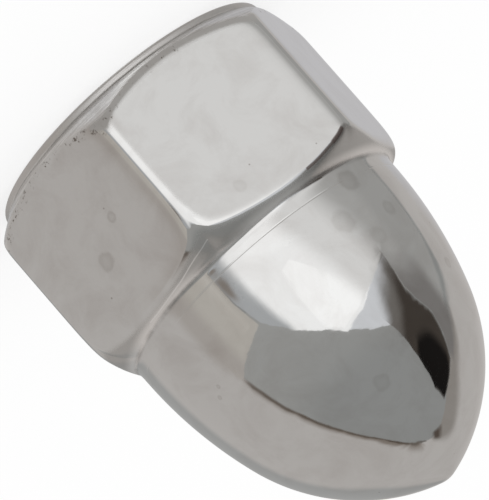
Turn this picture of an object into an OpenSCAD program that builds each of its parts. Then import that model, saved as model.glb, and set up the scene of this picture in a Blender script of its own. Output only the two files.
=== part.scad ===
// Cap nut (acorn nut) turned from one piece of hexagon bar.
// It stands on its open end: the seat is the plane z = 0, and the tip points up along +Z.
// Millimetres throughout.

/* [Hexagon] */
// Width across the hexagon's flats
across_flats = 14.29; // [11.9:0.01:20]
// Height from the seat to the root of the dome
hex_height = 8.5; // [6:0.1:12]
// Radius of the hexagon's six upright corners
corner_radius = 0.8; // [0.3:0.05:2]
// Slope of the turned chamfer at the dome end, from the seat plane
dome_end_chamfer = 30; // [15:1:40]
// Slope of the turned chamfer at the seat end, from the seat plane
seat_end_chamfer = 42; // [15:1:45]

/* [Seat] */
// How far the seat's rim stands in from the flats
seat_step = 0.3; // [0.1:0.05:0.8]
// Height of the turned collar under the hexagon
seat_height = 0.4; // [0.3:0.05:1]
// Radius on the collar's outer edge
rim_radius = 0.15; // [0.05:0.01:0.25]

/* [Dome] */
// Height of the whole nut, from the seat to the tip
overall_height = 20.4; // [16:0.1:30]
// How far the root of the dome stands in from the flats
dome_step = 0.36; // [0.1:0.02:1]
// Height of the straight neck between the hexagon and the dome's curve
neck_height = 0.5; // [0.1:0.1:2]
// Slope of the dome beside its tip, from the seat plane
tip_slope = 18.5; // [5:0.5:30]
// Radius that rounds the tip itself
tip_radius = 1.2; // [0.4:0.1:2.5]
// How the dome's curve is shared out: the nose arc's part over the flank arc's part
nose_share = 1.47; // [0.8:0.01:1.8]

/* [Thread] */
// Major diameter of the thread
thread_dia = 9.525; // [7:0.005:11.5]
// Pitch of the thread
thread_pitch = 1.058; // [0.8:0.001:1.6]
// How far the countersink's mouth stands out past the thread
mouth_margin = 0.2; // [0.1:0.05:0.4]
// Solid metal between the drill's point and the tip of the nut
crown_wall = 4.8; // [3.5:0.1:8]
// Angle across the drill's point
drill_angle = 118; // [90:1:140]

/* [Hidden] */
$fn = 96;

FLATS = 6;
// Angle from the middle of a flat to the corner beside it
half_corner = 180 / FLATS;
// How far a cutter, or the blank, runs past the finished shape
overrun = 1;
// Arcs are drawn with a point at least every so many degrees
arc_step = 4;

// Hexagon: radius inside the flats, radius to the corners' centres, and a blank radius that clears them
flat_r = across_flats / 2;
corner_centre_r = (flat_r - corner_radius) / cos(half_corner);
blank_r = corner_centre_r + corner_radius + overrun;

// Turned steps and the heights at which the two chamfers leave the blank
seat_r = flat_r - seat_step;
dome_r = flat_r - dome_step;
seat_chamfer_top = seat_height + (blank_r - seat_r) * tan(seat_end_chamfer);
dome_chamfer_foot = hex_height - (blank_r - dome_r) * tan(dome_end_chamfer);

// The dome's curve is two arcs that share a tangent where they join. The flank arc leaves
// the neck upright, and the nose arc reaches the tip's rounding at tip_slope.
curve_start = [dome_r, hex_height + neck_height];
curve_end = [tip_radius * sin(tip_slope), overall_height - tip_radius * (1 - cos(tip_slope))];
start_dir = [0, 1];
end_dir = [-cos(tip_slope), sin(tip_slope)];
span = curve_end - curve_start;
// Tangent lengths of the two arcs: the root of the quadratic under which they meet smoothly
qa = 2 * nose_share * (1 - start_dir * end_dir);
qb = 2 * span * (start_dir + nose_share * end_dir);
qc = span * span;
flank_tangent = (sqrt(qb * qb + 4 * qa * qc) - qb) / (2 * qa);
nose_tangent = nose_share * flank_tangent;
flank_corner = curve_start + flank_tangent * start_dir;
nose_corner = curve_end - nose_tangent * end_dir;
join = (flank_corner * nose_tangent + nose_corner * flank_tangent) / (flank_tangent + nose_tangent);
// How far the curve leans in from upright where the arcs join
lean = atan2(flank_corner[0] - nose_corner[0], nose_corner[1] - flank_corner[1]);
flank_r = flank_tangent / tan(lean / 2);
nose_r = nose_tangent / tan((90 - tip_slope - lean) / 2);
flank_centre = curve_start - [flank_r, 0];
nose_centre = join - nose_r * polar(lean);
tip_centre = [0, overall_height - tip_radius];

// Hole: the tapping drill's radius, its shoulder's height and the height of its point
drill_r = (thread_dia - thread_pitch) / 2;
mouth_r = thread_dia / 2 + mouth_margin;
countersink = mouth_r - drill_r;
point_top = overall_height - crown_wall;
shoulder_top = point_top - drill_r / tan(drill_angle / 2);

// Unit vector at an angle from +X
function polar(angle) = [cos(angle), sin(angle)];

// Points along an arc from one direction to another, with its end but not its start
function arc(centre, radius, from, to) =
    let (steps = ceil(abs(to - from) / arc_step))
    [for (i = [1 : steps]) centre + radius * polar(from + (to - from) * i / steps)];

// Bar stock: a hexagon with rounded corners, two of them on the Y axis
module bar() {
    linear_extrude(height = overall_height + overrun) polygon([
        for (i = [0 : FLATS - 1])
            let (facing = half_corner * (2 * i + 1), centre = corner_centre_r * polar(facing))
            each concat(
                [centre + corner_radius * polar(facing - half_corner)],
                arc(centre, corner_radius, facing - half_corner, facing + half_corner)
            )
    ]);
}

// Everything that the lathe forms on the outside, from the seat up to the tip
module turned_outside() {
    rotate_extrude() polygon(concat(
        [[0, 0], [seat_r - rim_radius, 0]],
        arc([seat_r - rim_radius, rim_radius], rim_radius, -90, 0),
        [
            [seat_r, seat_height],
            [blank_r, seat_chamfer_top],
            [blank_r, dome_chamfer_foot],
            [dome_r, hex_height],
            curve_start
        ],
        arc(flank_centre, flank_r, 0, lean),
        arc(nose_centre, nose_r, lean, 90 - tip_slope),
        arc(tip_centre, tip_radius, 90 - tip_slope, 90)
    ));
}

// Tapping hole: countersunk mouth, plain wall at the thread's minor diameter, drill point
module tapping_hole() {
    rotate_extrude() polygon([
        [0, -overrun],
        [mouth_r + overrun, -overrun],
        [drill_r, countersink],
        [drill_r, shoulder_top],
        [0, point_top]
    ]);
}

module cap_nut() {
    color("gainsboro") difference() {
        intersection() {
            turned_outside();
            bar();
        }
        tapping_hole();
    }
}

cap_nut();
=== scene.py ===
"""Cap nut in bright chrome plate: its finish and its studio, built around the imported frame."""
import logging
import math
from dataclasses import dataclass, field
from enum import Enum

import bmesh
import bpy
from mathutils import Color, Matrix, Vector
from mathutils.geometry import intersect_point_line


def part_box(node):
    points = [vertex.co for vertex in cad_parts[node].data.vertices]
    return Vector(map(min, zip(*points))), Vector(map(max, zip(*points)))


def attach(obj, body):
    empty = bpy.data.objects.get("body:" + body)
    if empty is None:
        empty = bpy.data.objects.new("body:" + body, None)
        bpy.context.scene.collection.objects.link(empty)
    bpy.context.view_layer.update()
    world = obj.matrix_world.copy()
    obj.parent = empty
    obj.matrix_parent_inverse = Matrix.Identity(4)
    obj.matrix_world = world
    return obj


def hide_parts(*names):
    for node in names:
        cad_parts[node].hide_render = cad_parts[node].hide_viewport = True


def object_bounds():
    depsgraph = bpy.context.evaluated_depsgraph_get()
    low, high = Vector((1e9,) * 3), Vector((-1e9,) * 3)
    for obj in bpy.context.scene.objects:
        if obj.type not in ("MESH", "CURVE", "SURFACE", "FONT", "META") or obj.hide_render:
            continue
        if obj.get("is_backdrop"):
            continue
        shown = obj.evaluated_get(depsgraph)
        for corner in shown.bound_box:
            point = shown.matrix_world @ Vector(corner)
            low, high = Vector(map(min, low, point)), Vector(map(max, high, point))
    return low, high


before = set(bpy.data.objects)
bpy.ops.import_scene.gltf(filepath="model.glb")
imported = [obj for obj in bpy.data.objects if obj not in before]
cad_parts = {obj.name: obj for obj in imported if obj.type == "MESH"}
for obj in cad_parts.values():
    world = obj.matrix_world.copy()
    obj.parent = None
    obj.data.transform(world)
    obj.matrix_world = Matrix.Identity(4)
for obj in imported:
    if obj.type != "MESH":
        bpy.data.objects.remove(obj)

LOG = logging.getLogger("cap_nut")
MM = 0.001
BODY = "root"
CAD_NODE = "cap_nut"
CHROME_SLOT = "chrome_plate"
FLATS = 6
HALF_CORNER = math.pi / FLATS
# Places nearer to each other than this, in metres, are one place
WELD = 1e-4 * MM
WHITE = "#FFFFFF"
# Attributes of the nut's mesh that its finish reads: how nearly the skin leans as the lathe cut it
# at the seat and at the dome, whether a place is in the hole, and the lathe's own directions, round
# and across its cut
SEAT_CUT, DOME_CUT, HOLE, LATHE = "seat_cut", "dome_cut", "hole", "lathe"
# What the first of them reads on the collar, to tell it from the seat's chamfer, which reads up to 1
COLLAR_LEAN = 2.0

Point = tuple[float, float]
Span = tuple[float, float]
Place = tuple[float, float, float]
Socket = bpy.types.NodeSocket
Tree = bpy.types.NodeTree


def linear_colour(hex_code: str) -> tuple[float, float, float, float]:
    """Turn an sRGB colour such as "#C0C0BE" into the linear colour that a shader takes."""
    channels = [channel / 255 for channel in bytes.fromhex(hex_code[1:])]
    return (*Color(channels).from_srgb_to_scene_linear(), 1.0)


def clamped(value: float) -> float:
    """Hold a value between 0 and 1."""
    return max(0.0, min(1.0, value))


def as_object(mesh: bmesh.types.BMesh, name: str) -> bpy.types.Object:
    """Make an object from a bmesh, which is freed, and put it in the scene.

    Args:
        mesh: The shape.
        name: Name of the object and its mesh.

    Returns:
        The object.
    """
    data = bpy.data.meshes.new(name)
    mesh.to_mesh(data)
    mesh.free()
    thing = bpy.data.objects.new(name, data)
    bpy.context.scene.collection.objects.link(thing)
    return thing


class Zone(Enum):
    """The lengths of skin that a cutter leaves on the nut, from the drill's point to the tip."""

    DRILL_POINT = 0
    BORE = 1
    THREAD = 2
    MOUTH = 3
    SEAT = 4
    COLLAR = 5
    SEAT_CHAMFER = 6
    FLATS = 7
    DOME_CHAMFER = 8
    NECK = 9
    DOME = 10


HOLE_ZONES = (Zone.DRILL_POINT, Zone.BORE, Zone.THREAD, Zone.MOUTH)


@dataclass(frozen=True)
class Station:
    """One ring of the skin: its radius and height in millimetres, and the zone it lies in."""

    r: float
    z: float
    zone: Zone


class Spacing(Enum):
    """How the rings along a straight of the half section crowd together."""

    EVEN = "even"
    START = "close at the start"
    END = "close at the end"
    ENDS = "close at both ends"

    def shares(self, count: int) -> list[float]:
        """Places of the rings between the two ends, which are left out.

        Args:
            count: Number of rings.

        Returns:
            Shares of the length that rise from 0 to 1.
        """
        steps = [(k + 1) / (count + 1) for k in range(count)]
        if self is Spacing.START:
            return [1 - math.cos(t * math.pi / 2) for t in steps]
        if self is Spacing.END:
            return [math.sin(t * math.pi / 2) for t in steps]
        if self is Spacing.ENDS:
            return [(1 - math.cos(t * math.pi)) / 2 for t in steps]
        return steps


@dataclass(frozen=True)
class Corner:
    """A corner of the half section, its rounding, and the rings along the straight that it begins."""

    r: float
    z: float
    zone: Zone
    fill: int = 0
    spacing: Spacing = Spacing.EVEN
    radius: float = 0.0
    steps: int = 6

    @property
    def at(self) -> Vector:
        """Place of the sharp corner."""
        return Vector((self.r, self.z))


def half_section(corners: list[Corner]) -> list[Station]:
    """Walk along corners, round each one off and put rings along each straight.

    Args:
        corners: Corners in order; the first and last are plain ends.

    Returns:
        Rings from the first corner to the last, both included.
    """
    leave = corners[0].at
    rings = [Station(leave.x, leave.y, corners[0].zone)]
    for before, corner, after in zip(corners, corners[1:], [*corners[2:], None]):
        edge = [corner.at]
        if after and corner.radius > 0:
            back = (before.at - corner.at).normalized()
            ahead = (after.at - corner.at).normalized()
            half = back.angle(ahead) / 2
            centre = corner.at + (back + ahead).normalized() * corner.radius / math.sin(half)
            start = corner.at + back * corner.radius / math.tan(half) - centre
            turn = start.angle_signed(corner.at + ahead * corner.radius / math.tan(half) - centre)
            turns = [-turn * k / corner.steps for k in range(corner.steps + 1)]
            edge = [centre + Matrix.Rotation(by, 2) @ start for by in turns]
        shares = before.spacing.shares(before.fill)
        rings += [Station(*leave.lerp(edge[0], share), before.zone) for share in shares]
        rings += [Station(*point, corner.zone) for point in edge]
        leave = edge[-1]
    return rings


@dataclass(frozen=True)
class HexBar:
    """Rolled hexagon bar that the nut is turned from, with two corners on the Y axis, in millimetres."""

    across_flats: float
    half_flat_steps: int = 19

    @property
    def flat_r(self) -> float:
        """Radius of the circle inside the flats."""
        return self.across_flats / 2

    @property
    def columns(self) -> int:
        """Number of columns of faces round the nut."""
        return FLATS * 2 * self.half_flat_steps

    @property
    def flat_normals(self) -> list[Vector]:
        """Outward direction of each flat."""
        facings = [2 * HALF_CORNER * i for i in range(FLATS)]
        return [Vector((math.cos(facing), math.sin(facing), 0)) for facing in facings]

    def outline(self) -> list[Point]:
        """Spread columns round the bar, close together at its corners.

        Returns:
            Bearing in radians and reach in millimetres of every column.
        """
        half_flat = self.flat_r * math.tan(HALF_CORNER)
        shares = [k / self.half_flat_steps for k in range(self.half_flat_steps + 1)]
        from_middle = [half_flat * math.sin(share * math.pi / 2) for share in shares]
        offs = [math.atan2(along, self.flat_r) for along in from_middle]
        sector = [-off for off in reversed(offs)] + offs[1:-1]
        return [(2 * HALF_CORNER * i + off, self.flat_r / math.cos(off))
                for i in range(FLATS) for off in sector]


@dataclass(frozen=True)
class Dome:
    """Ogive of two arcs with a rounded tip, and a fine line that the tool left, sizes in millimetres."""

    root_r: float
    foot: float
    top: float
    tip_slope: float = math.radians(18.5)
    tip_radius: float = 1.2
    nose_share: float = 1.47
    tool_line: float = 0.2
    tool_line_width: float = 0.05
    tool_line_depth: float = 0.012
    flank_rings: int = 18
    nose_rings: int = 44
    tip_rings: int = 12

    def rings(self) -> list[Station]:
        """Walk up the two arcs and over the tip.

        Returns:
            Rings from above the neck to the tip, the tip's own point included.
        """
        start = Vector((self.root_r, self.foot))
        end = Vector((self.tip_radius * math.sin(self.tip_slope),
                      self.top - self.tip_radius * (1 - math.cos(self.tip_slope))))
        rise = Vector((0.0, 1.0))
        close = Vector((-math.cos(self.tip_slope), math.sin(self.tip_slope)))
        span = end - start
        a = 2 * self.nose_share * (1 - rise.dot(close))
        b = 2 * span.dot(rise + self.nose_share * close)
        flank_tangent = (math.sqrt(b * b + 4 * a * span.dot(span)) - b) / (2 * a)
        nose_tangent = self.nose_share * flank_tangent
        flank_corner = start + flank_tangent * rise
        nose_corner = end - nose_tangent * close
        lean = math.atan2(flank_corner.x - nose_corner.x, nose_corner.y - flank_corner.y)
        join = flank_corner.lerp(nose_corner, flank_tangent / (flank_tangent + nose_tangent))
        flank_r = flank_tangent / math.tan(lean / 2)
        finish = math.pi / 2 - self.tip_slope
        nose_r = nose_tangent / math.tan((finish - lean) / 2)
        flank = start - Vector((flank_r, 0))
        nose = join - nose_r * Vector((math.cos(lean), math.sin(lean)))
        tip = Vector((0, self.top - self.tip_radius))
        flank_turns = self.turns(0, lean, self.flank_rings)
        half_width = self.tool_line_width / 2
        cut = [math.asin((self.tool_line + half_width * k) / flank_r) for k in (-2, -1, 0, 1, 2)]
        arcs = (self.arc(flank, flank_r, sorted(flank_turns + cut))
                + self.arc(nose, nose_r, self.turns(lean, finish, self.nose_rings))
                + self.arc(tip, self.tip_radius, self.turns(finish, math.pi / 2, self.tip_rings)))
        line_z = self.foot + self.tool_line
        return [Station(s.r - self.tool_line_depth * max(0.0, 1 - abs(s.z - line_z) / half_width),
                        s.z, s.zone) for s in arcs]

    @staticmethod
    def turns(start: float, end: float, rings: int) -> list[float]:
        """Directions along an arc, its start left out."""
        return [start + (end - start) * (k + 1) / rings for k in range(rings)]

    @staticmethod
    def arc(centre: Vector, radius: float, turns: list[float]) -> list[Station]:
        """Rings along an arc round a centre in the half section, in the given directions."""
        return [Station(max(0.0, centre.x + radius * math.cos(t)),
                        centre.y + radius * math.sin(t), Zone.DOME) for t in turns]


@dataclass(frozen=True)
class TappedHole:
    """Blind hole: drilled, countersunk and tapped right-handed, sizes in millimetres."""

    thread_dia: float = 9.525
    pitch: float = 1.058
    mouth_margin: float = 0.2
    point_top: float = 15.6
    drill_half_angle: float = math.radians(59)
    full_thread_top: float = 11.0
    run_out: float = 1.3
    # Width of the flat at the bottom of the groove, as a share of the pitch, and slope of its sides
    root_flat: float = 0.125
    flank_angle: float = math.radians(30)
    rings_per_pitch: int = 14
    point_rings: int = 10
    wall_rings: int = 4
    mouth_rings: int = 10

    @property
    def drill_r(self) -> float:
        """Radius of the tapping drill."""
        return (self.thread_dia - self.pitch) / 2

    @property
    def mouth_r(self) -> float:
        """Radius of the countersink's mouth."""
        return self.thread_dia / 2 + self.mouth_margin

    @property
    def countersink(self) -> float:
        """Depth of the countersink."""
        return self.mouth_r - self.drill_r

    @property
    def shoulder(self) -> float:
        """Height at which the drill's point begins."""
        return self.point_top - self.drill_r / math.tan(self.drill_half_angle)

    def rings(self) -> list[Station]:
        """Walk down the inside of the hole.

        Returns:
            Rings from the drill's point down to the mouth.
        """
        thread_end = self.full_thread_top + self.run_out
        thread_rings = round((thread_end - self.countersink) / self.pitch * self.rings_per_pitch)
        ends = [(0.0, self.point_top), (self.drill_r, self.shoulder), (self.drill_r, thread_end),
                (self.drill_r, self.countersink), (self.mouth_r, 0.0)]
        counts = [self.point_rings, self.wall_rings, thread_rings, self.mouth_rings]
        rings = [Station(*ends[0], Zone.DRILL_POINT)]
        for start, end, count, zone in zip(ends, ends[1:], counts, HOLE_ZONES):
            rings += [Station(start[0] + (end[0] - start[0]) * (k + 1) / count,
                              start[1] + (end[1] - start[1]) * (k + 1) / count, zone) for k in range(count)]
        return rings

    def wall_r(self, station: Station, bearing: float) -> float:
        """Radius of the tapped wall, with the thread's groove cut into it.

        Args:
            station: Ring in the threaded stretch or the mouth.
            bearing: Angle from +X in radians.

        Returns:
            Radius in millimetres.
        """
        if station.zone not in (Zone.THREAD, Zone.MOUTH):
            return station.r
        turn = (station.z / self.pitch - bearing / (2 * math.pi)) % 1.0
        off = abs(turn - 0.5)
        depth = self.thread_dia / 2 - self.drill_r
        flank = depth * math.tan(self.flank_angle) / self.pitch
        share = clamped(1 - (off - self.root_flat / 2) / flank)
        fade = clamped((self.full_thread_top + self.run_out - station.z) / self.run_out)
        return max(station.r, self.drill_r + depth * share * fade)


@dataclass(frozen=True)
class CapNut:
    """The whole nut, sizes in millimetres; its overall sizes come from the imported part."""

    bar: HexBar
    top: float
    hole: TappedHole = field(default_factory=TappedHole)
    hex_height: float = 8.5
    dome_chamfer: float = math.radians(30)
    seat_chamfer: float = math.radians(38.5)
    seat_step: float = 0.3
    seat_height: float = 0.4
    rim_radius: float = 0.15
    collar_fill: float = 0.08
    dome_step: float = 0.36
    neck_height: float = 0.5
    # What the wheel took off: a hair off the flats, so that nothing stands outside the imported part's
    # box, more at each kind of edge, and the given shares more where the edge meets a corner
    flat_wear: float = 0.004
    upright_wear: float = 0.17
    dome_edge_wear: float = 0.28
    seat_edge_wear: float = 0.1
    dome_corner_wear: float = 0.6
    seat_corner_wear: float = 0.9
    # The corner at this bearing kept its crisp dome-end edges: how closely that keeps to the corner,
    # and what share of the wear it was spared
    kept_bearing: float = math.radians(-150)
    kept_focus: float = 8.0
    kept_edge: float = 0.55
    # The chamfers were cut a little further towards the middle than they stand once buffed
    dome_chamfer_lift: float = 0.22
    seat_chamfer_drop: float = 0.05
    shoulder_slope: float = math.radians(8)
    shoulder_lift: float = 0.06
    shoulder_wear: float = 0.05
    root_fill: float = 0.1
    root_reach: float = 1.2
    # Steps in which a point settles on to the buffed skin
    settling_steps: int = 3

    @classmethod
    def from_frame(cls) -> "CapNut":
        """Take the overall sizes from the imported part's box."""
        low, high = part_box(CAD_NODE)
        return cls(bar=HexBar(across_flats=(high.x - low.x) / MM), top=high.z / MM)

    @property
    def seat_r(self) -> float:
        """Radius of the turned collar."""
        return self.bar.flat_r - self.seat_step

    @property
    def dome_r(self) -> float:
        """Radius of the neck, where the dome starts."""
        return self.bar.flat_r - self.dome_step

    @property
    def collar_top(self) -> float:
        """Height at which the seat's chamfer was cut, lower than it stands once buffed."""
        return self.seat_height - self.seat_chamfer_drop

    @property
    def neck_foot(self) -> float:
        """Height of the shoulder's root, where the neck rises from it."""
        return self.hex_height + self.shoulder_lift

    @property
    def root(self) -> Point:
        """Radius and height of the corner under the dome, once filled in."""
        return (self.dome_r + self.root_fill / 2, self.neck_foot + self.root_fill / 2)

    def outside(self, reach: float) -> list[Station]:
        """Rings over the outside, still sharp, where the bar's side is a given reach away.

        Args:
            reach: Distance from the axis to the bar's side in millimetres.

        Returns:
            Rings from the edge of the mouth to the tip.
        """
        neck_top = self.hex_height + self.neck_height
        low_edge = self.collar_top + (reach - self.seat_r) * math.tan(self.seat_chamfer)
        high_root = self.hex_height + self.dome_chamfer_lift
        high_edge = high_root - (reach - self.dome_r) * math.tan(self.dome_chamfer)
        turned = half_section([
            Corner(self.hole.mouth_r, 0, Zone.SEAT, fill=6),
            Corner(self.seat_r, 0, Zone.COLLAR, fill=2, radius=self.rim_radius),
            Corner(self.seat_r, self.collar_top, Zone.SEAT_CHAMFER, fill=9, spacing=Spacing.END,
                   radius=self.collar_fill, steps=4),
            Corner(reach, low_edge, Zone.FLATS, fill=38, spacing=Spacing.ENDS),
            Corner(reach, high_edge, Zone.DOME_CHAMFER, fill=16, spacing=Spacing.ENDS),
            Corner(self.dome_r, self.neck_foot, Zone.NECK, fill=8, spacing=Spacing.START),
            Corner(self.dome_r, neck_top, Zone.DOME),
        ])
        return turned + Dome(self.dome_r, neck_top, self.top).rings()

    def buffed(self, sharp: Vector, neck_r: float) -> tuple[Vector, Vector]:
        """Bring a point of the sharp hexagon and its chamfers in to the buffed skin.

        The flats and the two chamfers blend as if worn by a soft wheel: an edge loses the
        most, the corners where edges meet lose more again, and the loss dies away over a
        few times the wear. The dome's chamfer eases into a flatter shoulder beside the neck,
        and the corner at the root fills in. One of the six corners kept its crisp edges there.

        Args:
            sharp: Point on the sharp skin in millimetres.
            neck_r: Radius of the neck or the dome at its height.

        Returns:
            The point on the buffed skin, and the skin's outward normal there.
        """
        point = sharp.copy()
        for _ in range(self.settling_steps):
            out = Vector((point.x, point.y, 0))
            r = out.length
            out /= r
            flats = [(point.dot(normal) - self.bar.flat_r + self.flat_wear, normal)
                     for normal in self.bar.flat_normals]
            side, side_normal = worn(flats, self.upright_wear)
            towards = out.x * math.cos(self.kept_bearing) + out.y * math.sin(self.kept_bearing)
            kept = max(0.0, towards) ** self.kept_focus
            chamfer_foot = self.hex_height + self.dome_chamfer_lift * (1 - kept)
            cuts = ((self.dome_chamfer, chamfer_foot), (self.shoulder_slope, self.neck_foot))
            cones = [((r - self.dome_r) * math.sin(slope) + (point.z - foot) * math.cos(slope),
                      out * math.sin(slope) + Vector((0, 0, math.cos(slope)))) for slope, foot in cuts]
            upper = worn(cones, self.shoulder_wear)
            steep, flat = math.sin(self.seat_chamfer), math.cos(self.seat_chamfer)
            lower = ((r - self.seat_r) * steep + (self.collar_top - point.z) * flat,
                     out * steep - Vector((0, 0, flat)))
            corner = (1 - side_normal.length) / (1 - math.cos(HALF_CORNER))
            at_dome = self.dome_edge_wear * (1 + self.dome_corner_wear * corner)
            at_seat = self.seat_edge_wear * (1 + self.seat_corner_wear * corner)
            domeward = worn([(side, side_normal), upper], at_dome * (1 - self.kept_edge * kept))
            proud, normal = worn([domeward, lower], at_seat)
            if point.z > self.hex_height / 2:
                proud, normal = worn([(-proud, -normal), (neck_r - r, -out)], self.root_fill)
                proud, normal = -proud, -normal
            point -= normal * proud / normal.length_squared
        return point, normal.normalized()

    def build(self) -> bpy.types.Object:
        """Spin the half section round the axis, bring each column out to the bar's side, and buff it.

        Returns:
            The nut as one closed mesh object.
        """
        hole = self.hole.rings()
        outline = self.bar.outline()
        template = hole + self.outside(self.bar.flat_r)[1:]
        mesh = bmesh.new()
        row_of = mesh.verts.layers.int.new("row")
        seat_cut_of = mesh.verts.layers.float.new(SEAT_CUT)
        dome_cut_of = mesh.verts.layers.float.new(DOME_CUT)
        hole_of = mesh.verts.layers.float.new(HOLE)
        lathe_of = mesh.verts.layers.float_vector.new(LATHE)
        line = []
        for row, ring in enumerate(template):
            vert = mesh.verts.new((ring.r * MM, 0, ring.z * MM))
            vert[row_of] = row
            line.append(vert)
        edges = [mesh.edges.new(pair) for pair in zip(line, line[1:])]
        bmesh.ops.spin(mesh, geom=line + edges, cent=(0, 0, 0), axis=(0, 0, 1), dvec=(0, 0, 0),
                       angle=2 * math.pi, steps=self.bar.columns, use_merge=True)
        sections = [hole + self.outside(reach)[1:] for _, reach in outline]
        step = 2 * math.pi / self.bar.columns
        for vert in mesh.verts:
            column = round(math.atan2(vert.co.y, vert.co.x) / step) % self.bar.columns
            ring = sections[column][vert[row_of]]
            bearing = outline[column][0]
            r = self.hole.wall_r(ring, bearing)
            point = Vector((r * math.cos(bearing), r * math.sin(bearing), ring.z))
            vert[seat_cut_of] = COLLAR_LEAN if ring.zone in (Zone.SEAT, Zone.COLLAR) else 0.0
            near_root = ring.zone is Zone.DOME and ring.z < self.hex_height + self.root_reach
            if near_root or ring.zone in (Zone.SEAT_CHAMFER, Zone.FLATS, Zone.DOME_CHAMFER, Zone.NECK):
                point, normal = self.buffed(point, min(ring.r, self.dome_r))
                vert[seat_cut_of] = max(0.0, -normal.z / math.cos(self.seat_chamfer))
                vert[dome_cut_of] = max(0.0, normal.z / math.cos(self.dome_chamfer))
            vert.co = point * MM
            vert[hole_of] = float(ring.zone in HOLE_ZONES)
            across = point.z + r if ring.z < self.hex_height / 2 else point.z - r
            vert[lathe_of] = Vector((math.cos(bearing), math.sin(bearing), across))
        bmesh.ops.remove_doubles(mesh, verts=mesh.verts, dist=WELD)
        bmesh.ops.recalc_face_normals(mesh, faces=mesh.faces)
        for face in mesh.faces:
            face.smooth = True
        return as_object(mesh, "plated_nut")


def worn(sides: list[tuple[float, Vector]], wear: float) -> tuple[float, Vector]:
    """Blend surfaces that meet at an edge into one worn skin.

    Args:
        sides: For each surface, how far the point stands proud of it, and its outward normal.
        wear: Size of the wear in millimetres.

    Returns:
        How far the point stands proud of the worn skin, and the skin's outward normal.
    """
    most = max(proud for proud, _ in sides)
    weights = [math.exp((proud - most) / wear) for proud, _ in sides]
    total = sum(weights)
    normal = sum((side[1] * weight / total for side, weight in zip(sides, weights)), Vector((0, 0, 0)))
    return most + wear * math.log(total), normal


def add(tree: Tree, kind: str, inputs: dict | None = None, **settings: object) -> bpy.types.Node:
    """Add a node with its settings, its values and its links.

    Args:
        tree: Node tree that takes the node.
        kind: Blender's type name for the node, without its ShaderNode.
        inputs: Value, or output socket to link, for each input by name or index.
        **settings: Properties to set on the node.

    Returns:
        The new node.
    """
    node = tree.nodes.new("ShaderNode" + kind)
    for name, value in settings.items():
        setattr(node, name, value)
    for socket, value in (inputs or {}).items():
        if isinstance(value, Socket):
            tree.links.new(value, node.inputs[socket])
        else:
            node.inputs[socket].default_value = value
    return node


def bare_tree(owner: bpy.types.Material | bpy.types.World) -> Tree:
    """Give a material or a world a node tree with nothing in it.

    Args:
        owner: The material or the world.

    Returns:
        Its empty node tree.
    """
    owner.use_nodes = True
    owner.node_tree.nodes.clear()
    return owner.node_tree


class Curve(Enum):
    """How a share goes from its start to its end."""

    STRAIGHT = "LINEAR"
    SMOOTH = "SMOOTHSTEP"


@dataclass(frozen=True)
class Skin:
    """The nut's skin as its finish meets it: a material's node tree, and each place in millimetres."""

    tree: Tree
    place: Socket

    def add(self, kind: str, inputs: dict, out: int | str = 0, **settings: object) -> Socket:
        """Add a node, as the function of that name does, and take one of its outputs."""
        return add(self.tree, kind, inputs, **settings).outputs[out]

    def off_root(self, root: Point) -> Socket:
        """Distance from the corner where the dome meets the chamfer.

        Args:
            root: Radius and height of the corner.

        Returns:
            The distance in millimetres.
        """
        axes = add(self.tree, "SeparateXYZ", {0: self.place}).outputs
        flat = self.add("CombineXYZ", {0: axes["X"], 1: axes["Y"]})
        radius = self.add("VectorMath", {0: flat}, "Value", operation="LENGTH")
        section = self.add("CombineXYZ", {0: radius, 1: axes["Z"]})
        return self.add("VectorMath", {0: section, 1: (*root, 0.0)}, "Value", operation="DISTANCE")

    def share(self, value: Socket, over: Span, to: Span = (0.0, 1.0), curve: Curve = Curve.SMOOTH) -> Socket:
        """Share that runs between two values over a range of what it depends on, and holds outside it."""
        ends = dict(zip(("From Min", "From Max", "To Min", "To Max"), (*over, *to)))
        return self.add("MapRange", {"Value": value, **ends}, interpolation_type=curve.value)

    def strongest(self, shares: list[Socket]) -> Socket:
        """Lay several marks over each other.

        Args:
            shares: Share of each mark.

        Returns:
            Share of the mark that shows most at each place.
        """
        most = shares[0]
        for share in shares[1:]:
            most = self.add("Math", {0: most, 1: share}, operation="MAXIMUM")
        return most


@dataclass(frozen=True)
class Coat:
    """What covers the plate, or shows in place of its mirror: a tone and a roughness."""

    tone: str
    roughness: float


@dataclass(frozen=True)
class Cloud:
    """Soft noise: the size of its patches in millimetres, and the finer detail on them."""

    size: float
    detail: float = 1.0
    roughness: float = 0.5
    distortion: float = 0.0

    def over(self, skin: Skin, place: Socket | None = None) -> Socket:
        """Noise from 0 to 1 at each place, or worked out from what is given in its stead."""
        return skin.add("TexNoise", {
            "Vector": place or skin.place, "Scale": 1 / self.size, "Detail": self.detail,
            "Roughness": self.roughness, "Distortion": self.distortion}, "Fac")


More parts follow.
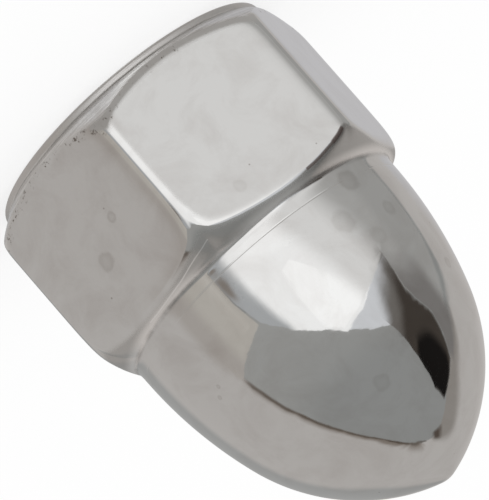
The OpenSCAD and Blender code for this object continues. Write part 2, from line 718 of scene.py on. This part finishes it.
@dataclass(frozen=True)
class Spot:
    """A dried water spot: its place and radius in millimetres, and how strongly it shows.

    It is a faint disc with a clearer middle and so a darker rim, which wanders in and out.
    The disc and its middle fade in over shares of the spot's reach.
    """

    at: Place
    radius: float
    strength: float = 1.0
    raggedness: float = 0.7
    reach: float = 1.35
    disc: Span = (1.0, 0.72)
    disc_share: float = 0.42
    middle: Span = (0.75, 0.4)
    middle_share: float = 0.17

    def shown(self, skin: Skin, ragged: Socket) -> Socket:
        """Draw the spot.

        Args:
            skin: The nut's skin.
            ragged: Noise that its rim follows.

        Returns:
            How strongly it shows at each place.
        """
        off = skin.add("VectorMath", {0: skin.place, 1: self.at}, "Value", operation="DISTANCE")
        swing = self.radius * self.raggedness
        wander = skin.add("Math", {0: ragged, 1: swing, 2: off}, operation="MULTIPLY_ADD")
        reach = self.radius * self.reach
        disc, middle = (
            skin.share(wander, (reach * start, reach * end), (0.0, share * self.strength))
            for (start, end), share in ((self.disc, self.disc_share), (self.middle, self.middle_share)))
        return skin.add("Math", {0: disc, 1: middle}, operation="SUBTRACT")


@dataclass(frozen=True)
class Streak:
    """A narrow mark: its points and half width in millimetres, and how strongly it shows."""

    through: tuple[Place, ...]
    half_width: float = 0.04
    strength: float = 0.6
    core: float = 0.4

    def shown(self, skin: Skin) -> Socket:
        """Draw the mark as straight lengths from point to point, soft outside its core.

        Args:
            skin: The nut's skin.

        Returns:
            How strongly it shows at each place.
        """
        fade = (self.half_width, self.half_width * self.core)
        lengths = []
        for start, end in zip(self.through, self.through[1:]):
            along = Vector(end) - Vector(start)
            off = skin.add("VectorMath", {0: skin.place, 1: start}, operation="SUBTRACT")
            share = skin.add("VectorMath", {0: off, 1: along / along.length_squared}, "Value",
                             operation="DOT_PRODUCT")
            held = skin.add("Clamp", {0: share})
            nearest = skin.add("VectorMath", {0: along, "Scale": held}, operation="SCALE")
            gap = skin.add("VectorMath", {0: off, 1: nearest}, "Value", operation="DISTANCE")
            lengths.append(skin.share(gap, fade, (0.0, self.strength)))
        return skin.strongest(lengths)


@dataclass(frozen=True)
class ChromePlate:
    """Bright nickel-chrome plate on steel, buffed on the flats and dome with a soft wheel.

    The buffed skin is a clean mirror with a faintly warm grey tone. It has a little haze,
    dried water spots, pinhead pits and the slow waves that a buffing wheel leaves, so that
    mirrored edges wander. The wheel hardly reached the two chamfers. The dome's is satin and
    darker, but painted lighter near its root as a painted highlight that lifts the shade in
    that corner, where old polish stays. A light line painted along a dome-end edge of the
    flats is a painted highlight, and a dark brown streak runs along such an edge near one
    corner. The seat's keeps the lathe's fine rings and is nicked along its border. Sizes
    are in millimetres.
    """

    plate: Coat = Coat("#D9D9D8", 0.035)
    hazed: Coat = Coat("#CBC9C7", 0.07)
    spotted: Coat = Coat("#B1AEAA", 0.16)
    pitted: Coat = Coat("#7B7069", 0.35)
    satin: Coat = Coat("#C3C2C0", 0.38)
    # Painted highlight: a lighter tone near the dome's root that lifts the shade in that corner
    painted_root_light: Coat = Coat("#F1EFED", 0.3)
    # Painted highlight: a near-white line along a dome-end edge of the flats, in place of the highlight
    # there
    painted_edge_highlight: Coat = Coat("#FBFAF9", 0.25)
    # A dark brown tone drawn as streaks along a dome-end edge near one corner
    dark_streaked: Coat = Coat("#54382F", 0.55)
    cut: Coat = Coat("#CDCCCA", 0.3)
    collar: Coat = Coat("#D2D0CE", 0.4)
    nicked: Coat = Coat("#827B75", 0.4)
    grimed: Coat = Coat("#3E332B", 0.5)
    drilled: Coat = Coat("#A3A19D", 0.3)
    # The lathe's rings on a cut stand lighter. They are drawn coarser than its feed, so that they show,
    # and break off so often round the nut, in patches per radian
    ring_tone: str = "#EEEEED"
    ring_pitch: float = 0.12
    ring_breaks: float = 3.5
    ring_height: float = 0.004
    ring_grain: Cloud = Cloud(1.0, 3.0, 0.6)
    ring_cover: Span = (0.38, 0.66)
    # Leans between which each cut's own finish takes over from the mirror
    seat_cut_lean: Span = (0.5, 0.75)
    collar_lean: Span = (1.1, 1.7)
    satin_lean: Span = (0.3, 0.65)
    # Distances from the dome's root between which the painted root light and the old polish fade in
    root_light_reach: Span = (0.6, 0.08)
    grime_reach: Span = (0.16, 0.03)
    grime_patches: Cloud = Cloud(1.43, 5.0, 0.6)
    grime_cover: Span = (0.42, 0.7)
    grime_share: Span = (0.05, 0.4)
    haze_patches: Cloud = Cloud(2.2, 5.0, 0.62, 0.6)
    haze_cover: Span = (0.42, 0.78)
    # Waves and ripples that the wheel left, each with its height
    wheel_marks: tuple[tuple[Cloud, float], ...] = ((Cloud(2.5), 0.004), (Cloud(0.45), 0.0012))
    # Nicks lie where the seat's chamfer begins to lean, in patches
    nick_grain: Cloud = Cloud(0.24, 2.0, 0.7)
    nick_patches: Cloud = Cloud(2.22)
    nick_patchiness: float = 0.5
    nick_border: Span = (0.02, 0.08)
    nick_end: Span = (0.3, 0.7)
    nick_cover: Span = (0.85, 1.0)
    # Pits are drawn a little larger than pinheads, so that they show; only some cells have one
    pit_spacing: float = 0.8
    pit_radius: float = 0.06
    pit_pick: Span = (0.66, 1.0)
    pit_edge: float = 0.02
    pit_share: float = 0.45
    spot_rim: Cloud = Cloud(0.455, 3.0)
    spots: tuple[Spot, ...] = (
        Spot((-5.5, -4.0, 9.3), 0.62), Spot((-4.4, -5.1, 10.7), 0.6, 0.7),
        Spot((-5.9, -3.1, 11.1), 0.42, 0.7), Spot((-5.0, -4.3, 11.9), 0.5, 0.5),
        Spot((-6.0, -1.2, 14.0), 0.3, 0.8), Spot((3.9, -6.0, 5.4), 0.5),
        Spot((2.4, -6.9, 4.4), 0.3), Spot((3.9, -5.2, 12.2), 0.12),
        Spot((4.2, -4.9, 12.5), 0.14), Spot((-1.2, -4.9, 16.6), 0.45, 0.6),
        Spot((-2.4, -6.9, 7.1), 0.34, 0.5),
    )
    # Lines along which the painted edge highlight is drawn
    highlight_lines: tuple[Streak, ...] = (
        Streak(((-0.07, -7.62, 7.99), (0.21, -7.59, 8.06), (0.5, -7.55, 8.12), (0.8, -7.45, 8.16),
                (1.2, -7.26, 8.21), (1.94, -6.85, 8.32), (2.47, -6.57, 8.35), (3.06, -6.24, 8.38),
                (3.66, -5.88, 8.4), (4.23, -5.53, 8.39))),
    )
    # Where the dark brown streaks run
    dark_streaks: tuple[Streak, ...] = (
        Streak(((-6.72, -4.27, 7.61), (-6.48, -4.42, 7.74), (-6.16, -4.6, 7.85)), 0.14, 0.75),
        Streak(((-6.16, -4.6, 7.85), (-5.81, -4.8, 7.94), (-5.41, -5.02, 8.04), (-5.09, -5.21, 8.1),
                (-4.74, -5.41, 8.13)), 0.09, 0.65),
    )

    def make(self, root: Point) -> bpy.types.Material:
        """Build the material.

        Args:
            root: Radius and height, in millimetres, of the corner where the dome meets the chamfer.

        Returns:
            The material.
        """
        material = bpy.data.materials.new(CHROME_SLOT)
        material.use_nodes = True
        tree = material.node_tree
        shader = tree.nodes["Principled BSDF"]
        shader.inputs["Metallic"].default_value = 1.0
        metres = add(tree, "TexCoord").outputs["Object"]
        place = add(tree, "VectorMath", {0: metres, "Scale": 1 / MM}, operation="SCALE").outputs[0]
        skin = Skin(tree, place)
        seat_lean, dome_lean, hole = (skin.add("Attribute", {}, "Fac", attribute_name=name)
                                      for name in (SEAT_CUT, DOME_CUT, HOLE))
        off_root = skin.off_root(root)
        rings = self.rings(skin)
        cut = skin.share(seat_lean, self.seat_cut_lean)
        satin = skin.share(dome_lean, self.satin_lean)
        # Share of the painted highlight near the dome's root
        near = skin.share(off_root, self.root_light_reach)
        # A Mix node takes numbers at its inputs 2 and 3, and colours at 6 and 7, mixed at its output 2
        dark, light = linear_colour(self.cut.tone), linear_colour(self.ring_tone)
        ringed = skin.add("Mix", {0: rings, 6: dark, 7: light}, 2, data_type="RGBA")
        colour, roughness = linear_colour(self.plate.tone), self.plate.roughness
        for coat, share in (
                (self.hazed, self.haze(skin)),
                (self.spotted, self.water_spots(skin)),
                (self.pitted, self.pits(skin)),
                (self.satin, satin),
                (self.painted_root_light, skin.add("Math", {0: satin, 1: near}, operation="MULTIPLY")),
                (self.painted_edge_highlight, skin.strongest([streak.shown(skin) for streak in self.highlight_lines])),
                (self.dark_streaked, skin.strongest([streak.shown(skin) for streak in self.dark_streaks])),
                (self.cut, cut),
                (self.collar, skin.share(seat_lean, self.collar_lean)),
                (self.nicked, self.nicks(skin, seat_lean)),
                (self.grimed, self.grime(skin, off_root)),
                (self.drilled, hole)):
            tone = ringed if coat is self.cut else linear_colour(coat.tone)
            colour = skin.add("Mix", {0: share, 6: colour, 7: tone}, 2, data_type="RGBA")
            roughness = skin.add("Mix", {0: share, 2: roughness, 3: coat.roughness}, data_type="FLOAT")
        tree.links.new(colour, shader.inputs["Base Color"])
        tree.links.new(roughness, shader.inputs["Roughness"])
        tree.links.new(self.relief(skin, rings, cut), shader.inputs["Normal"])
        return material

    def haze(self, skin: Skin) -> Socket:
        """How hazy each place is, in the faint cloudy patches that handling leaves on the mirror."""
        return skin.share(self.haze_patches.over(skin), self.haze_cover, curve=Curve.STRAIGHT)

    def rings(self, skin: Skin) -> Socket:
        """Fine rings that the lathe's tool leaves round a cut; each breaks off after a few millimetres.

        Args:
            skin: The nut's skin.

        Returns:
            How light each place on a ring is.
        """
        lathe = skin.add("Attribute", {}, "Vector", attribute_name=LATHE)
        fineness = (self.ring_breaks, self.ring_breaks, 1 / self.ring_pitch)
        drawn = skin.add("VectorMath", {0: lathe, 1: fineness}, operation="MULTIPLY")
        return skin.share(self.ring_grain.over(skin, drawn), self.ring_cover, curve=Curve.STRAIGHT)

    def nicks(self, skin: Skin, seat_lean: Socket) -> Socket:
        """Dark nicks that handling left along the border of the seat's chamfer.

        Args:
            skin: The nut's skin.
            seat_lean: How nearly the skin leans as the lathe cut it at the seat.

        Returns:
            How strongly a nick shows at each place.
        """
        begun, past = skin.share(seat_lean, self.nick_border), skin.share(seat_lean, self.nick_end)
        band = skin.add("Math", {0: begun, 1: past}, operation="SUBTRACT")
        patch, grain = self.nick_patches.over(skin), self.nick_grain.over(skin)
        sparse = skin.add("Math", {0: patch, 1: self.nick_patchiness, 2: grain}, operation="MULTIPLY_ADD")
        shown = skin.share(sparse, self.nick_cover)
        return skin.add("Math", {0: band, 1: shown}, operation="MULTIPLY", use_clamp=True)

    def pits(self, skin: Skin) -> Socket:
        """Pinhead pits where the plate missed.

        Args:
            skin: The nut's skin.

        Returns:
            How strongly a pit shows at each place.
        """
        cells = add(skin.tree, "TexVoronoi", {"Vector": skin.place, "Scale": 1 / self.pit_spacing}).outputs
        pick = skin.add("SeparateColor", {0: cells["Color"]})
        size = skin.share(pick, self.pit_pick, (0.0, self.pit_radius / self.pit_spacing), Curve.STRAIGHT)
        depth = skin.add("Math", {0: size, 1: cells["Distance"]}, operation="SUBTRACT")
        return skin.share(depth, (0.0, self.pit_edge), (0.0, self.pit_share), Curve.STRAIGHT)

    def water_spots(self, skin: Skin) -> Socket:
        """How strongly a water spot shows at each place; one ragged noise serves all their rims."""
        ragged = self.spot_rim.over(skin)
        return skin.strongest([spot.shown(skin, ragged) for spot in self.spots])

    def grime(self, skin: Skin, off_root: Socket) -> Socket:
        """Old polish packed into the corner under the dome, thicker in places.

        Args:
            skin: The nut's skin.
            off_root: Distance from the corner in millimetres.

        Returns:
            How much grime covers each place.
        """
        near = skin.share(off_root, self.grime_reach)
        thickness = self.grime_patches.over(skin)
        packed = skin.share(thickness, self.grime_cover, self.grime_share, Curve.STRAIGHT)
        return skin.add("Math", {0: near, 1: packed}, operation="MULTIPLY")

    def relief(self, skin: Skin, rings: Socket, cut: Socket) -> Socket:
        """Heights too slight for the mesh: the lathe's rings and the wheel's waves.

        Args:
            skin: The nut's skin.
            rings: Light and dark of the lathe's rings.
            cut: How much of the lathe's cut is left.

        Returns:
            The normal.
        """
        ridges = skin.add("Math", {0: rings, 1: cut}, operation="MULTIPLY")
        height = skin.add("Math", {0: ridges, 1: self.ring_height}, operation="MULTIPLY")
        for cloud, high in self.wheel_marks:
            height = skin.add("Math", {0: cloud.over(skin), 1: high, 2: height}, operation="MULTIPLY_ADD")
        return skin.add("Bump", {"Height": height, "Distance": MM, "Strength": 1.0})


def bearing_vector(azimuth: float, elevation: float) -> Vector:
    """Unit vector so many degrees round from -Y towards +X, and so many above the horizon."""
    a, e = math.radians(azimuth), math.radians(elevation)
    return Vector((math.sin(a) * math.cos(e), -math.cos(a) * math.cos(e), math.sin(e)))


@dataclass(frozen=True)
class Card:
    """A glowing sheet hung round the nut, where nothing but the plate's mirror sees it. It gives
    off its tone at its level as light, and the darker sheets stand in for shade in the room.

    Its corners are bearings from the nut: degrees round from -Y towards +X, and degrees
    above the seat. Each edge, from its corner to the next, may fade in over some degrees,
    and the sheet bends round the nut in folds so many degrees apart.
    """

    name: str
    tone: str
    corners: tuple[Point, ...]
    fades: tuple[float, ...] = ()
    level: float = 1.0
    fold: int = 3

    def cover(self, at: Vector) -> float:
        """How much of the light behind the card it stops at a place on it.

        Args:
            at: Bearing in degrees.

        Returns:
            1 where the card is whole, 0 where it has faded out.
        """
        covered = 1.0
        for i, fade in enumerate(self.fades):
            if fade > 0:
                start, end = Vector(self.corners[i]), Vector(self.corners[(i + 1) % len(self.corners)])
                nearest = start.lerp(end, clamped(intersect_point_line(at, start, end)[1]))
                inside = clamped((at - nearest).length / fade)
                covered *= inside * inside * (3 - 2 * inside)
        return covered

    def hang(self, distance: float) -> bpy.types.Object:
        """Cut the sheet flat, bend it round the nut and hang it.

        Args:
            distance: How far from the nut it hangs, in metres.

        Returns:
            The card.
        """
        sheet = bmesh.new()
        sheet.faces.new([sheet.verts.new((*corner, 0)) for corner in self.corners])
        for axis, along in (((1, 0, 0), 0), ((0, 1, 0), 1)):
            ends = [corner[along] for corner in self.corners]
            for place in range(int(min(ends)) + self.fold, int(max(ends)), self.fold):
                whole = list(sheet.verts) + list(sheet.edges) + list(sheet.faces)
                bmesh.ops.bisect_plane(sheet, geom=whole, plane_co=Vector(axis) * place, plane_no=axis)
        cover = sheet.verts.layers.float.new("cover")
        for vert in sheet.verts:
            vert[cover] = self.cover(vert.co.xy)
            vert.co = bearing_vector(vert.co.x, vert.co.y) * distance
        card = as_object(sheet, self.name)
        card.visible_camera = card.visible_diffuse = card.visible_shadow = False
        material = bpy.data.materials.new(self.name)
        tree = bare_tree(material)
        covered = add(tree, "Attribute", attribute_name="cover").outputs["Fac"]
        lit = add(tree, "Emission", {"Color": linear_colour(self.tone), "Strength": self.level})
        clear = add(tree, "BsdfTransparent")
        mixed = add(tree, "MixShader", {0: covered, 1: clear.outputs[0], 2: lit.outputs[0]})
        add(tree, "OutputMaterial", {"Surface": mixed.outputs[0]})
        card.data.materials.append(material)
        return card


# Stretches of border that several of the studio's cards share, as bearings in degrees
SWEEP_END = ((222, 74), (232, 66), (240, 58), (247, 50), (246, 30))
WINDOW_LEFT = ((-90, -90), (-90, 2), (-82, 6), (-60, 13))
DIM_LEFT = ((-130, -90), (-130, 0), (-122, 10), (-112, 24))
DOORWAY_HEAD = ((-115.5, 57), (-97, 57), (-88, 52.5), (-80, 49))
DOORWAY_SIDE = ((-70, 40.5), (-64, 33))
DOORWAY_SILL = ((-85, 14), (-100, 21.5), (-108, 30))


@dataclass(frozen=True)
class Studio:
    """White sweep under even light, with glowing cards hung round the nut for its plate to mirror.

    Each card hangs nearer than the one before and hides it. Distances are in metres.
    """

    distance: float = 0.9
    spacing: float = 0.01
    floor_reach: float = 2.0
    floor_tone: str = "#FCFCFC"
    # How much of the floor, to the eye, is lit evenly: what is left takes the nut's shadow
    floor_lift: float = 0.78
    cards: tuple[Card, ...] = (
        Card("ceiling", "#9C9D9C", ((-180, -90), (-180, 90), (180, 90), (180, -90))),
        Card("ceiling_edge", "#AAAAA8", ((-60, 0), (-60, 42), (62, 42), (62, 0)), (0, 34)),
        Card("sweep", "#C6C2BF",
             ((60, -90), (60, 8), (56, 25), (53, 50), (54, 70), (60, 77), (75, 82), (100, 85), (180, 85),
              (200, 83), (212, 80), *SWEEP_END, (239, 12), (230, 3), (230, -90)),
             (0,) * 13 + (4, 5, 5, 3, 2)),
        # Painted shade: a darker glowing sheet for the shade on the sweep beside the doorway
        Card("sweep_corner_shade", "#9B9691",
             ((205, 78), *SWEEP_END, (240, 14), (236, 14), (228, 35), (205, 50)),
             (3, 0, 0, 0, 3, 3, 3, 6, 12, 12)),
        Card("sweep_shade", "#8F867E",
             ((60, 6.5), (54, 25), (51, 50), (51, 71.5), (57.5, 79), (74, 84.5), (100, 87), (180, 87),
              (200, 80.5), (180, 77), (100, 77.5), (82, 75), (70, 69), (62, 64), (60, 50), (62, 25),
              (66, 8)),
             (1.5,) * 7 + (1, 9, 9, 9, 8, 7, 6, 6, 6, 2), fold=2),
        # Painted shadow: a dark line along the sweep's border, for the shadow at the sheet's edge
        Card("sweep_edge_shadow", "#5A5047",
             ((59, 6.5), (53.5, 25), (50.5, 50), (50.5, 71.5), (57, 80), (74, 85.5), (100, 88), (180, 88),
              (200, 86.5), (212, 83), (212, 78.5), (200, 81.5), (180, 83.5), (100, 83.5), (77, 80.5),
              (63, 75.5), (56, 70), (55.5, 50), (58.5, 25), (63.5, 8)),
             (2.9,) * 20, fold=1),
        Card("low_sweep", "#C7C6C8", ((150, -90), (150, -5), (210, -5), (210, -90)), (8, 8, 8)),
        Card("far_gap", "#ABABAA", ((122, -22), (132, 40), (172, 40), (172, -22)), (12, 12, 12, 6)),
        Card("knot", "#5C524B", ((212, 66), (212, 78), (233, 76), (233, 64)), (5, 4, 5, 4)),
        Card("shelf", "#C5C0B9", ((22, 4.5), (58, 7.2), (62, 7.5), (62, -90), (25, -90), (25, -3))),
        Card("shelf_end", "#B7B1AC", ((44, -90), (44, 6), (64, 8), (71, 4), (71, -90)), (11, 0, 4, 10)),
        Card("shelf_lip", "#CDC8C1", ((26, -90), (26, 3), (37, 3), (37, -90)), (3, 0, 9)),
        Card("cool_strip", "#B9BBBD",
             ((5, -90), (5, 12), (10, 10), (20, 4.5), (24, -3), (25, -12), (25, -90))),
        Card("strip_edge", "#928B85",
             ((17.5, -2.5), (16.5, -5), (15, -8), (17, -12.5), (29, -12.5), (28, -9), (25.5, -2.5)),
             (4, 5, 5, 3, 5, 5, 3), fold=1),
        Card("pale_gap", "#E4E6EA",
             ((-24, 20.3), (-45, 24), (-56, 25.5), (-68, 24), (-84, 6), (-60, 12), (-45, 17))),
        Card("window", WHITE,
             (*WINDOW_LEFT, (-45, 17.8), (-24, 21.0), (-10, 17.0), (1, 13.7), (8.5, 11.4), (14.5, 3),
              (18, -2), (19.5, -9), (19.5, -90)),
             (0,) * 8 + (6, 9, 11, 13), 1.17, fold=2),
        Card("window_core", WHITE,
             ((-12, 16.5), (-24, 19.8), (-43, 17), (-58, 13), (-50, 8), (-36, 4), (-24, -2.5), (-14, -1),
              (-11, 6)),
             (0, 0, 0, 4, 3, 0, 0, 2, 2), 1.28),
        Card("window_core_low", WHITE,
             ((-41, -6), (-12, -5), (2, -7), (7, -22), (-14, -34), (-38, -24)), (4, 3, 7, 3, 6, 15), 1.23),
        Card("window_side", "#F1F0EF",
             (*WINDOW_LEFT, (-44, 17.3), (-9, -33), (-9, -90)), (0, 0, 0, 0, 15, 15)),
        Card("dim_side", "#B7B6B4",
             (*DIM_LEFT, (-84, 14), (-82, 5.5), (-67.5, 9), (-31, -46), (-31, -90)),
             (3, 3, 3, 0, 0, 0, 24, 24)),
        Card("dim_far", "#ACABA9", (*DIM_LEFT, (-92, 16), (-86, -90)), (3, 3, 3, 0, 14)),
        Card("doorway_trim", "#858280",
             ((-84, 5), *DOORWAY_SILL, (-115, 38), (-121, 38), (-124, 14), (-110, 2)),
             (0, 0, 0, 0, 4, 4, 10, 9)),
        Card("doorway", "#77736F",
             (*DOORWAY_HEAD, *DOORWAY_SIDE, (-53, 21), (-59, 11.5), (-71, 6.5), (-84, 2.5),
              *DOORWAY_SILL, (-115.5, 38)),
             (2, 0, 0, 0, 0, 0, 9, 9, 5, 2, 2, 2, 2, 2), fold=2),
        Card("doorway_shade", "#48423D",
             (*DOORWAY_HEAD, *DOORWAY_SIDE, (-59, 33), (-71.5, 13), (-84, 4), *DOORWAY_SILL, (-115.5, 38)),
             (2, 0, 0, 0, 0, 0, 8, 7, 2, 2, 2, 2, 2), fold=2),
        Card("doorway_dark", "#1D1B1A",
             (*DOORWAY_HEAD, (-72, 42), (-76, 31), (-90, 27), (-108, 33), (-115.5, 42)),
             (2, 0, 0, 0, 4, 7, 7, 3, 2), fold=2),
        Card("bench", "#B2AFAC", ((-150, -90), (-150, -18), (62, -18), (62, -90)), (10, 12, 10)),
        Card("ground_glow", WHITE,
             ((150, -56), (153, -49), (188, -47), (196, -58), (215, -66), (240, -70), (240, -90),
              (188, -90), (183, -71), (171, -63)),
             (4, 4, 4, 4, 4, 10, 0, 2, 3, 3), 1.3),
    )

    def make_world(self) -> bpy.types.World:
        """Build the world: white to the eye, in the plate and on the floor.

        Returns:
            The world, set as the scene's own.
        """
        world = bpy.data.worlds.new("studio")
        tree = bare_tree(world)
        white = add(tree, "Background", {"Color": linear_colour(WHITE), "Strength": 1.0})
        add(tree, "OutputWorld", {"Surface": white.outputs[0]})
        bpy.context.scene.world = world
        return world

    def make_floor(self, height: float) -> bpy.types.Object:
        """Lay the pale floor that the nut stands on. The plate mirrors the cards through it.

        Args:
            height: Height of the floor in metres.

        Returns:
            The floor.
        """
        mesh = bmesh.new()
        bmesh.ops.create_grid(mesh, x_segments=1, y_segments=1, size=self.floor_reach)
        bmesh.ops.translate(mesh, verts=mesh.verts, vec=(0, 0, height))
        floor = as_object(mesh, "floor")
        material = bpy.data.materials.new("pale_floor")
        tree = bare_tree(material)
        path = add(tree, "LightPath").outputs
        paper = add(tree, "BsdfDiffuse", {"Color": linear_colour(self.floor_tone)})
        lift = add(tree, "Emission", {"Color": linear_colour(WHITE), "Strength": 1.0})
        lit = add(tree, "MixShader", {0: self.floor_lift, 1: paper.outputs[0], 2: lift.outputs[0]})
        seen = add(tree, "MixShader", {0: path["Is Camera Ray"], 1: paper.outputs[0], 2: lit.outputs[0]})
        clear = add(tree, "BsdfTransparent")
        mirrored = add(tree, "Math", {0: path["Is Glossy Ray"], 1: path["Is Transmission Ray"]},
                       operation="MAXIMUM")
        mixed = add(tree, "MixShader", {0: mirrored.outputs[0], 1: seen.outputs[0], 2: clear.outputs[0]})
        add(tree, "OutputMaterial", {"Surface": mixed.outputs[0]})
        floor.data.materials.append(material)
        return floor

    def build(self, height: float) -> list[bpy.types.Object]:
        """Light the world, lay the floor and hang the cards, each nearer than the one before.

        Args:
            height: Height of the floor in metres.

        Returns:
            The floor and the cards, marked as no part of the nut.
        """
        self.make_world()
        hung = [card.hang(self.distance - self.spacing * i) for i, card in enumerate(self.cards)]
        stage = [self.make_floor(height), *hung]
        for thing in stage:
            thing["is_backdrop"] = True
        return stage


@dataclass(frozen=True)
class ViewPoint:
    """Long lens set low beside the nut and rolled over, so that the tip points down and right.

    Angles are in degrees, distances in metres, and the lens's length in millimetres. The camera
    looks past a point on the axis, a share of the way up the nut, by the two shifts.
    """

    azimuth: float = -8.12
    elevation: float = 12.9
    roll: float = 138.9
    distance: float = 275 * MM
    lens: float = 479.9
    clip: Span = (1 * MM, 10.0)
    height_share: float = 0.4729
    shift_right: float = -1.474 * MM
    shift_up: float = 1.439 * MM

    def place(self, low: Vector, high: Vector) -> bpy.types.Object:
        """Make the camera and aim it at the nut.

        Args:
            low: Lowest corner of the nut's box.
            high: Highest corner of the nut's box.

        Returns:
            The camera, set as the scene's own.
        """
        back, roll = bearing_vector(self.azimuth, self.elevation), math.radians(self.roll)
        level_up = (Vector((0, 0, 1)) - back * back.z).normalized()
        level_right = level_up.cross(back)
        right = level_right * math.cos(roll) + level_up * math.sin(roll)
        up = level_up * math.cos(roll) - level_right * math.sin(roll)
        middle = Vector((0, 0, low.z + (high.z - low.z) * self.height_share))
        place = middle + back * self.distance
        target = middle + right * self.shift_right + up * self.shift_up
        look = (place - target).normalized()
        side = up.cross(look).normalized()
        data = bpy.data.cameras.new("camera")
        data.lens = self.lens
        data.clip_start, data.clip_end = self.clip
        camera = bpy.data.objects.new("camera", data)
        turn = Matrix((side, look.cross(side), look)).transposed()
        camera.matrix_world = Matrix.Translation(place) @ turn.to_4x4()
        bpy.context.scene.collection.objects.link(camera)
        bpy.context.scene.camera = camera
        return camera


def main() -> None:
    """Build the nut and its studio, and say what was made."""
    logging.basicConfig(level=logging.INFO, format="%(message)s")
    cad_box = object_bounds()
    ViewPoint().place(*cad_box)
    shape = CapNut.from_frame()
    nut = shape.build()
    nut.data.materials.append(ChromePlate().make(root=shape.root))
    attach(nut, BODY)
    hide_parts(CAD_NODE)
    LOG.info("plated nut: %d faces", len(nut.data.polygons))
    stage = Studio().build(cad_box[0].z)
    LOG.info("studio: floor and %d cards", len(stage) - 1)
    bpy.context.scene.view_settings.view_transform = "Standard"


if __name__ == "__main__":
    main()
